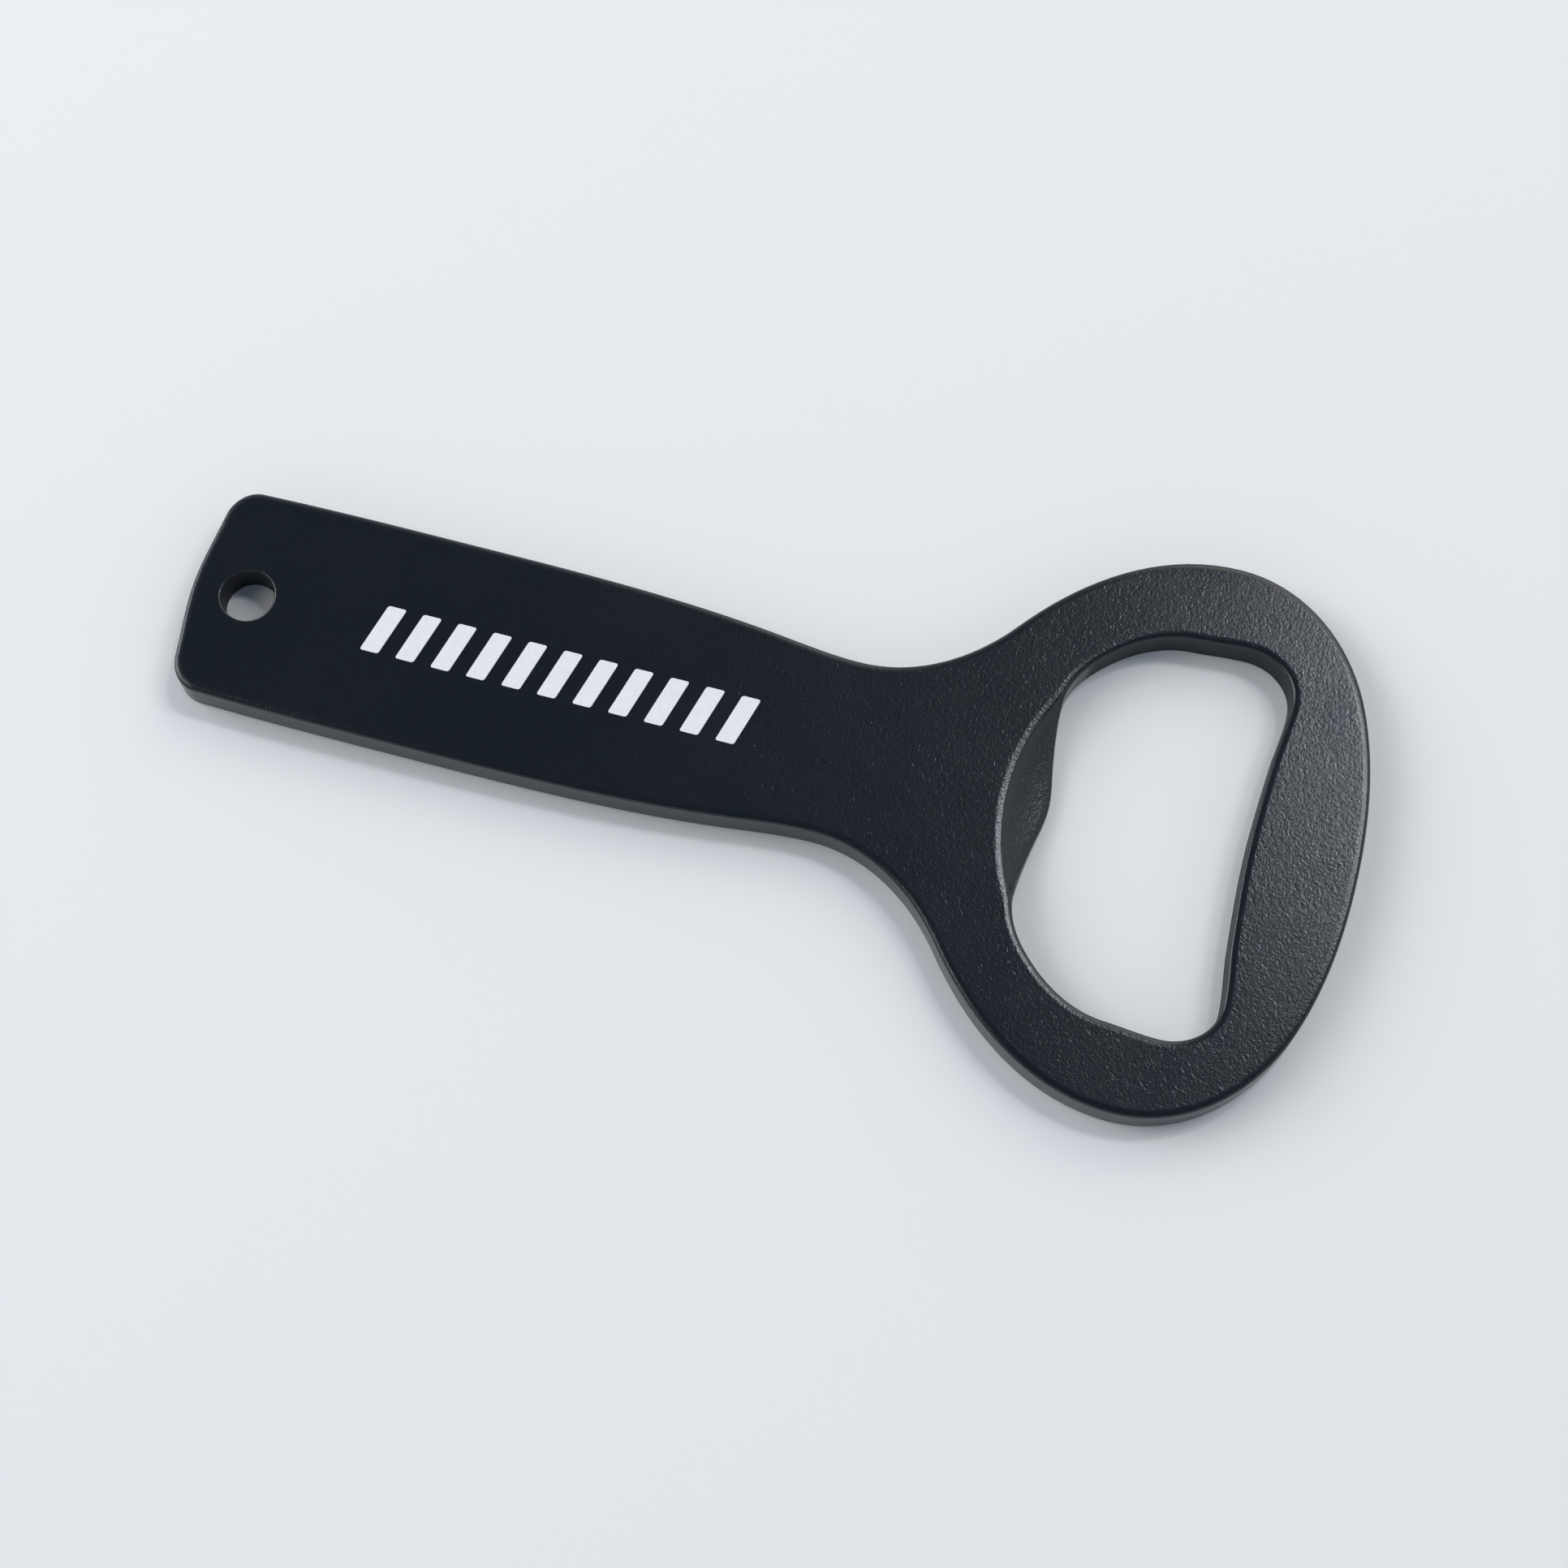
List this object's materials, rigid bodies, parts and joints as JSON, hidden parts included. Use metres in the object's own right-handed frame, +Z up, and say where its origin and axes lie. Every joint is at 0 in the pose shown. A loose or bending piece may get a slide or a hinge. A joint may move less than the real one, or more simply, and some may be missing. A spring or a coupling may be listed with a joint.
{
  "type": "keychain bottle opener",
  "caption": "Flat cast-metal key-ring bottle opener: straight handle with a ring hole, wide rounded head whose opening has a scooped tooth that hooks under a crown cap.",
  "frame": {"origin": "on the underside, under the middle of the overall length and width", "axes": "+X from the handle's end to the head, +Y across the width, +Z up out of the printed face"},
  "size_m": [0.11, 0.0534, 0.0037],
  "materials": {
    "black_powder_coat": "satin black powder coat with a fine leathery texture",
    "white_ink": "matt white pad-printed ink"
  },
  "bodies": {
    "root": {"opener_body": "black_powder_coat", "print_bar_01": "white_ink", "print_bar_02": "white_ink", "print_bar_03": "white_ink", "print_bar_04": "white_ink", "print_bar_05": "white_ink", "print_bar_06": "white_ink", "print_bar_07": "white_ink", "print_bar_08": "white_ink", "print_bar_09": "white_ink", "print_bar_10": "white_ink", "print_bar_11": "white_ink"}
  },
  "joints": []
}
